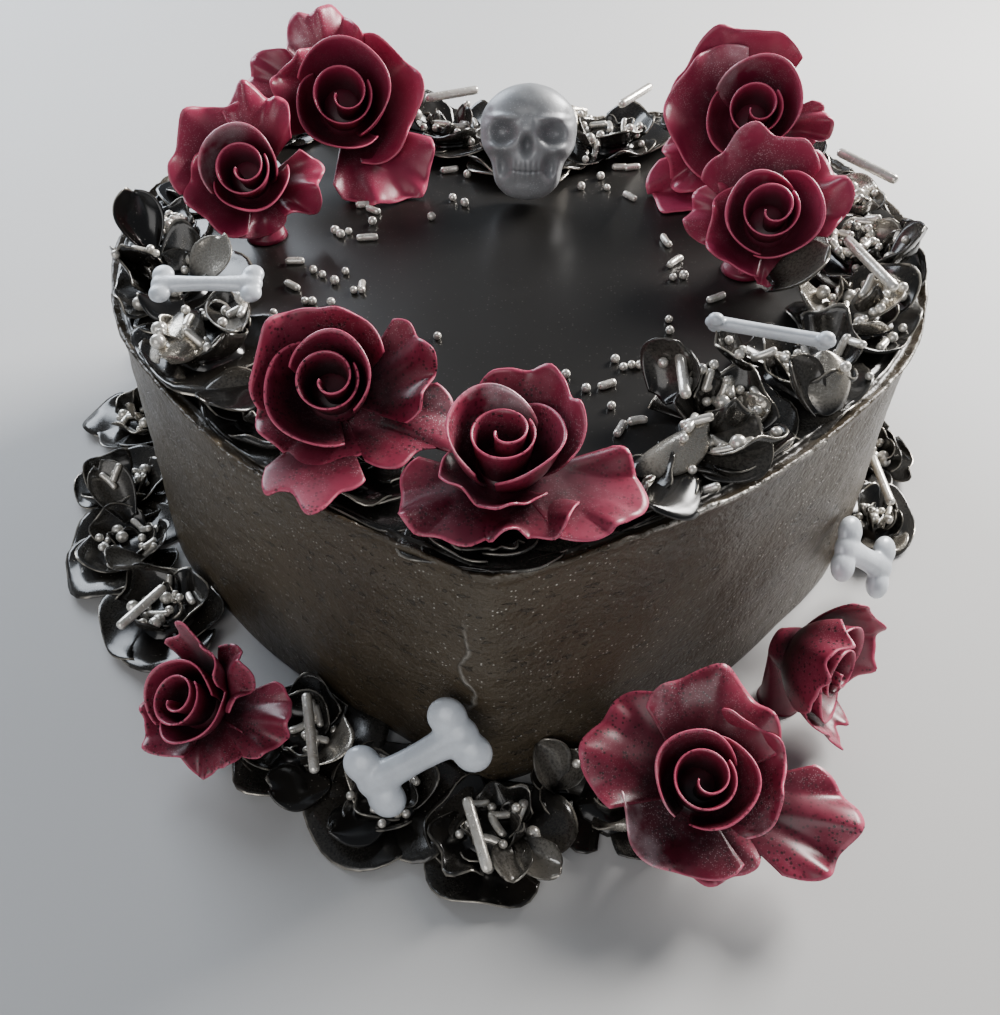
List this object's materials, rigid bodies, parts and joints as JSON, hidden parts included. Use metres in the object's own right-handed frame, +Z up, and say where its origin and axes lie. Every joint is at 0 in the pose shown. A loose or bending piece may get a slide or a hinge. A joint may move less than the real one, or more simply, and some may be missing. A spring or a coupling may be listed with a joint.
{
  "type": "heart-shaped black iced celebration cake",
  "caption": "Whole heart-shaped cake under smooth black icing, with piped black flowers round its rim and foot, dark red paste roses, a small skull and bones.",
  "frame": {"origin": "middle of the flat base of the iced heart, at table height", "axes": "+Z up, -Y toward the point of the heart, which faces the viewer; +X to the viewer's right"},
  "size_m": [0.2748, 0.2671, 0.1227],
  "materials": {
    "black_icing": "satin black buttercream with a brown cast, thinly sprayed with silver dust",
    "black_piping": "glossy black piped icing with silver-dusted edges and silver sprinkles",
    "rose_paste": "burgundy sugar paste, darker toward the heart, with fine black specks and silver shimmer",
    "bone_paste": "pearly pale silver-grey moulded paste",
    "skull_paste": "mid grey moulded paste with a soft silver sheen"
  },
  "bodies": {
    "root": {"bone_foot_front": "bone_paste", "bone_foot_right": "bone_paste", "bone_rim_left": "bone_paste", "bone_rim_right": "bone_paste", "cake": "black_icing", "foot_flower_00": "black_piping", "foot_flower_01": "black_piping", "foot_flower_02": "black_piping", "foot_flower_03": "black_piping", "foot_flower_04": "black_piping", "foot_flower_05": "black_piping", "foot_flower_06": "black_piping", "foot_flower_07": "black_piping", "foot_flower_08": "black_piping", "foot_flower_09": "black_piping", "foot_flower_10": "black_piping", "foot_flower_11": "black_piping", "foot_flower_12": "black_piping", "foot_flower_16": "black_piping", "foot_flower_17": "black_piping", "foot_flower_18": "black_piping", "foot_flower_19": "black_piping", "foot_flower_20": "black_piping", "foot_flower_21": "black_piping", "foot_flower_22": "black_piping", "rim_flower_00": "black_piping", "rim_flower_01": "black_piping", "rim_flower_02": "black_piping", "rim_flower_03": "black_piping", "rim_flower_04": "black_piping", "rim_flower_05": "black_piping", "rim_flower_06": "black_piping", "rim_flower_07": "black_piping", "rim_flower_08": "black_piping", "rim_flower_09": "black_piping", "rim_flower_10": "black_piping", "rim_flower_11": "black_piping", "rim_flower_12": "black_piping", "rim_flower_13": "black_piping", "rim_flower_14": "black_piping", "rim_flower_15": "black_piping", "rim_flower_16": "black_piping", "rim_flower_17": "black_piping", "rim_flower_18": "black_piping", "rim_flower_19": "black_piping", "rose_back_left_high": "rose_paste", "rose_back_left_low": "rose_paste", "rose_back_right_high": "rose_paste", "rose_back_right_low": "rose_paste", "rose_foot_bud": "rose_paste", "rose_foot_left": "rose_paste", "rose_foot_right": "rose_paste", "rose_front_left": "rose_paste", "rose_front_right": "rose_paste", "skull": "skull_paste"}
  },
  "joints": []
}
